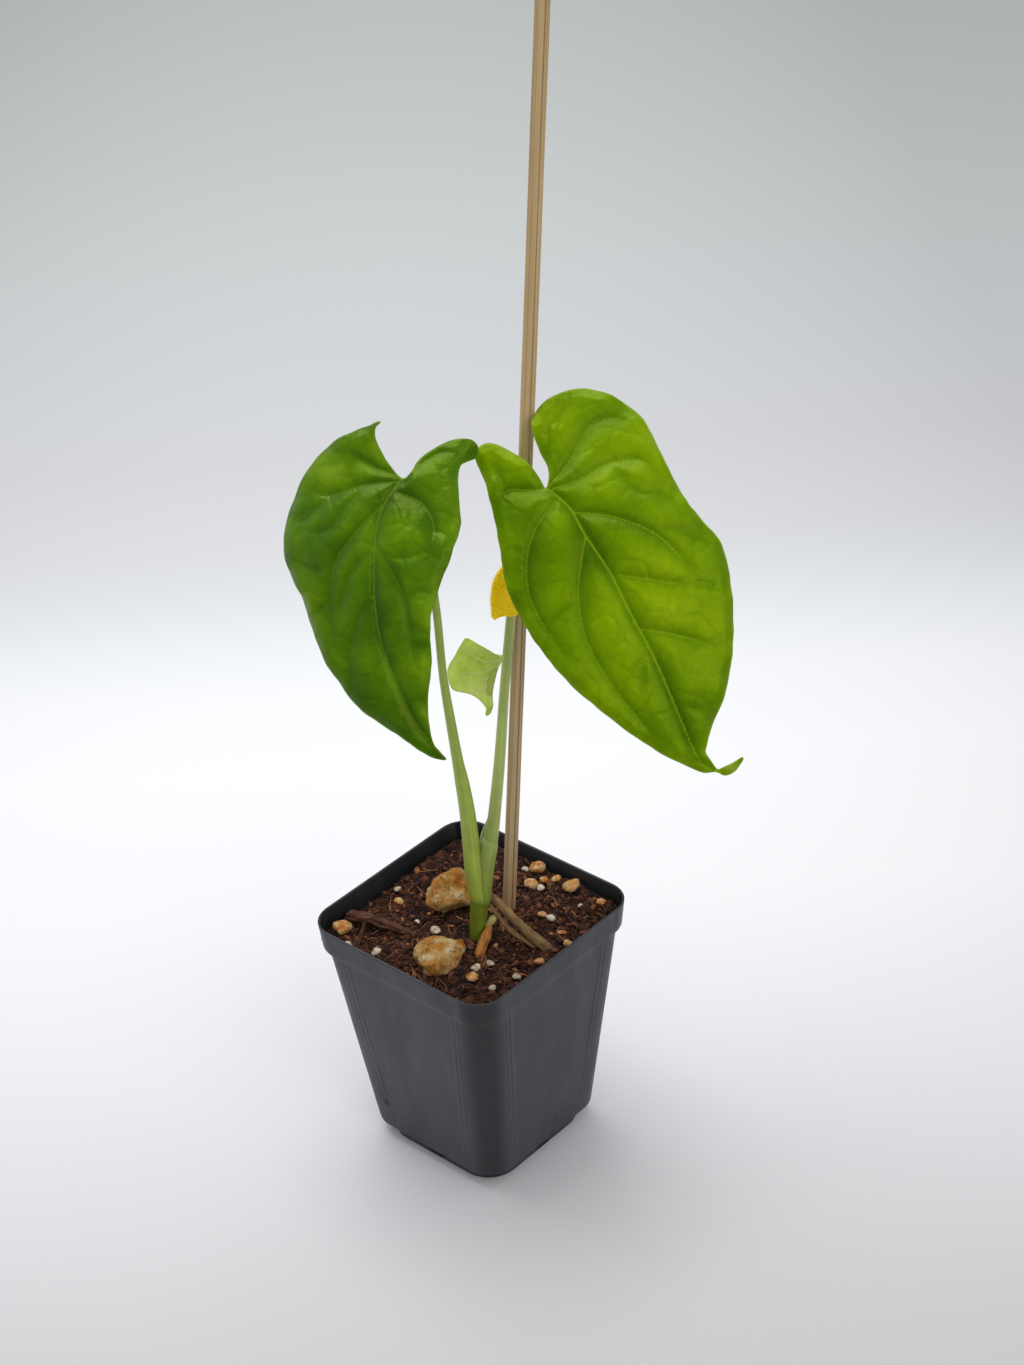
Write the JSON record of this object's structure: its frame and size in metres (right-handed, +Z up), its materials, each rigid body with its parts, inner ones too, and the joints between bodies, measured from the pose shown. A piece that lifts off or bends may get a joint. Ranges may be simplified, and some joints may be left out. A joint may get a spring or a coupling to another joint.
{
  "type": "potted climbing aroid plant",
  "caption": "Young heart-leaved climbing plant in a square tapered nursery pot, tied to a tall bamboo stake with a soft strap, soil dressed with clay lumps and perlite.",
  "frame": {"origin": "centre of the pot's foot, on the surface it stands on", "axes": "+Z up, X and Y square to the pot's sides; the leaves face +X -Y"},
  "size_m": [0.1599, 0.1096, 0.4817],
  "materials": {
    "pot_plastic": "satin black, faint scuffs and soil specks",
    "potting_mix": "loose moist coir and bark fines",
    "bamboo": "split cane with fine lengthwise fibres",
    "strap_fabric": "fuzzy hook-and-loop strap",
    "green_stem": "smooth living stem",
    "green_stalk": "smooth waxy leaf stalk",
    "root_skin": "dry corky root skin",
    "leaf_dark": "glossy quilted leaf, older and darker",
    "leaf_bright": "glossy quilted leaf, younger and yellower",
    "leaf_pale": "soft pale new leaf",
    "bark": "fibrous bark strip",
    "clay_lump": "porous baked clay",
    "perlite_grain": "chalky porous grain"
  },
  "bodies": {
    "root": {"bark_stick": "bark", "bark_twig": "bark", "bud": "green_stalk", "clay_chunk_back": "clay_lump", "clay_chunk_front": "clay_lump", "grain_01": "clay_lump", "grain_02": "perlite_grain", "grain_03": "perlite_grain", "grain_04": "perlite_grain", "grain_05": "perlite_grain", "grain_06": "perlite_grain", "grain_07": "clay_lump", "grain_08": "clay_lump", "grain_09": "clay_lump", "grain_10": "perlite_grain", "grain_11": "clay_lump", "grain_12": "clay_lump", "grain_13": "clay_lump", "grain_14": "perlite_grain", "grain_15": "clay_lump", "grain_16": "perlite_grain", "grain_17": "perlite_grain", "grain_18": "clay_lump", "grain_19": "perlite_grain", "grain_20": "perlite_grain", "grain_21": "clay_lump", "grain_22": "perlite_grain", "grain_23": "perlite_grain", "grain_24": "clay_lump", "grain_25": "clay_lump", "left_leaf": "leaf_dark", "left_stalk": "green_stalk", "pot": "pot_plastic", "prop_root": "root_skin", "right_leaf": "leaf_bright", "right_stalk": "green_stalk", "sheath": "green_stalk", "soil": "potting_mix", "stake": "bamboo", "stem": "green_stem", "tie": "strap_fabric", "young_leaf": "leaf_pale", "young_root": "root_skin", "young_stalk": "green_stalk"}
  },
  "joints": []
}
